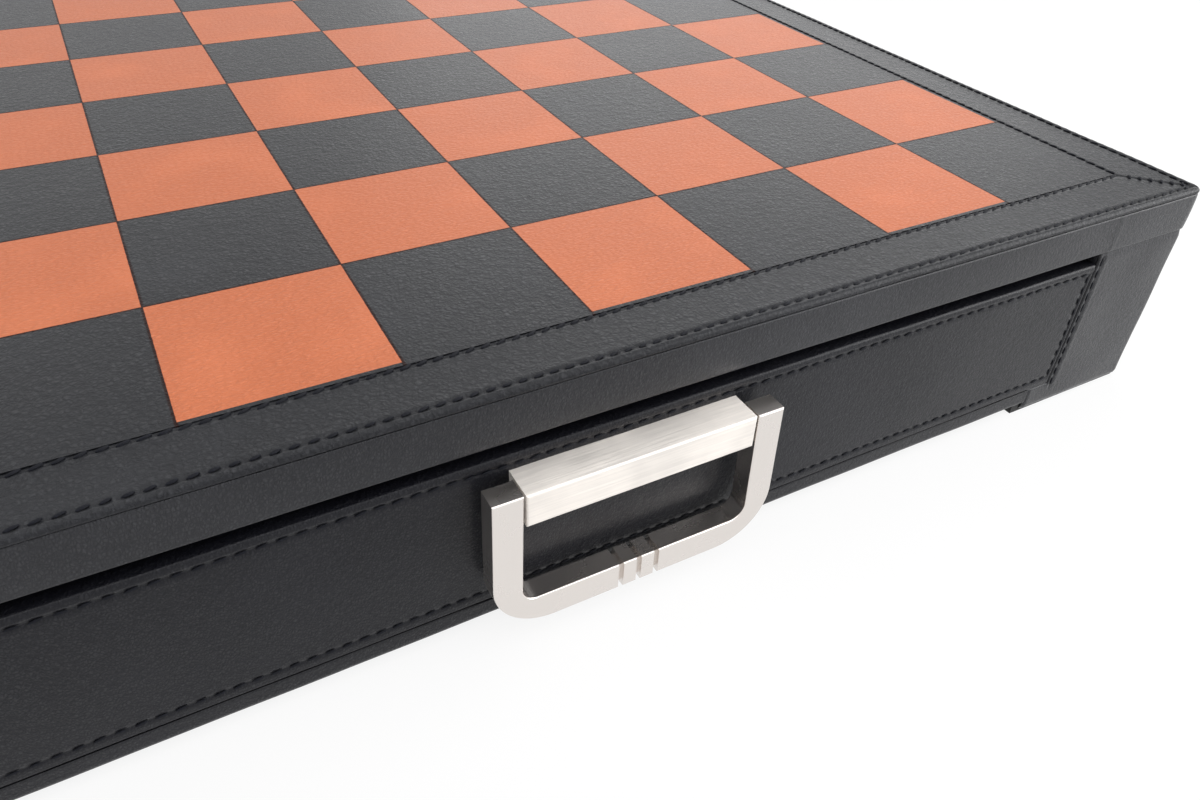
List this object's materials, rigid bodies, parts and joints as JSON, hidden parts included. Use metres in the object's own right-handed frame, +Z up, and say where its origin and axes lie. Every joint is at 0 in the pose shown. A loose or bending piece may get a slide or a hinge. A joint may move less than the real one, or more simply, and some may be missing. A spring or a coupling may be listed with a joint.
{
  "type": "chess box with drawers",
  "caption": "Flat leather-covered chess box: chequered playing surface on top, a shallow drawer with a swinging metal bail handle in the front and in the back.",
  "frame": {"origin": "centre of the footprint, on the plane that the four foot plates rest on", "axes": "+X to the right as seen from the front drawer, +Y to the back drawer, +Z up"},
  "size_m": [0.398, 0.4164, 0.07],
  "materials": {
    "black_leather": "black full-grain leather, fine pebble, soft sheen, dark sewing thread",
    "orange_leather": "orange colour printed on the grained leather",
    "board_wood": "fibreboard painted black",
    "drawer_wood": "dark stained plywood",
    "drawer_suede": "black suede cloth",
    "black_felt": "black felt",
    "foot_rubber": "matt black rubber",
    "brushed_handle_steel": "brushed nickel-coloured steel, straight brush lines",
    "screw_steel": "plain steel"
  },
  "bodies": {
    "case": {"top_board": "board_wood", "bottom_board": "board_wood", "centre_divider": "board_wood", "corner_block_front_left": "board_wood", "corner_block_front_right": "board_wood", "corner_block_back_left": "board_wood", "corner_block_back_right": "board_wood", "side_panel_left": "board_wood", "side_panel_right": "board_wood", "guide_wall_left": "board_wood", "guide_wall_right": "board_wood", "playing_field": "black_leather", "border_front": "black_leather", "border_right": "black_leather", "border_back": "black_leather", "border_left": "black_leather", "band_front": "black_leather", "band_right": "black_leather", "band_back": "black_leather", "band_left": "black_leather", "corner_cover_front_left": "black_leather", "corner_cover_front_right": "black_leather", "corner_cover_back_left": "black_leather", "corner_cover_back_right": "black_leather", "side_cover_left": "black_leather", "side_cover_right": "black_leather", "bottom_edge_front": "black_leather", "bottom_edge_back": "black_leather", "orange_squares": "orange_leather", "foot_plate_front_left": "foot_rubber", "foot_plate_front_right": "foot_rubber", "foot_plate_back_left": "foot_rubber", "foot_plate_back_right": "foot_rubber", "base_felt": "black_felt", "glide_strips": "black_felt"},
    "front_drawer": {"front_drawer_front": "drawer_wood", "front_drawer_cover": "black_leather", "front_drawer_side_left": "drawer_wood", "front_drawer_side_right": "drawer_wood", "front_drawer_back": "drawer_wood", "front_drawer_floor": "drawer_wood", "front_drawer_lining": "drawer_suede", "front_handle_bar": "brushed_handle_steel", "front_handle_screws": "screw_steel", "front_handle_pins": "screw_steel"},
    "front_bail": {"front_handle_bail": "brushed_handle_steel"},
    "back_drawer": {"back_drawer_front": "drawer_wood", "back_drawer_cover": "black_leather", "back_drawer_side_left": "drawer_wood", "back_drawer_side_right": "drawer_wood", "back_drawer_back": "drawer_wood", "back_drawer_floor": "drawer_wood", "back_drawer_lining": "drawer_suede", "back_handle_bar": "brushed_handle_steel", "back_handle_screws": "screw_steel", "back_handle_pins": "screw_steel"},
    "back_bail": {"back_handle_bail": "brushed_handle_steel"}
  },
  "joints": [
    {"name": "front_drawer_slide", "type": "slide", "parent": "case", "child": "front_drawer", "axis": [0, -1, 0], "range_m": [0, 0.15]},
    {"name": "front_bail_swing", "type": "hinge", "parent": "front_drawer", "child": "front_bail", "pos_m": [0, -0.20505, 0.0448], "axis": [-1, 0, 0], "range_deg": [-3.5, 180]},
    {"name": "back_drawer_slide", "type": "slide", "parent": "case", "child": "back_drawer", "axis": [0, 1, 0], "range_m": [0, 0.15]},
    {"name": "back_bail_swing", "type": "hinge", "parent": "back_drawer", "child": "back_bail", "pos_m": [0, 0.20505, 0.0448], "axis": [1, 0, 0], "range_deg": [-3.5, 180]}
  ]
}
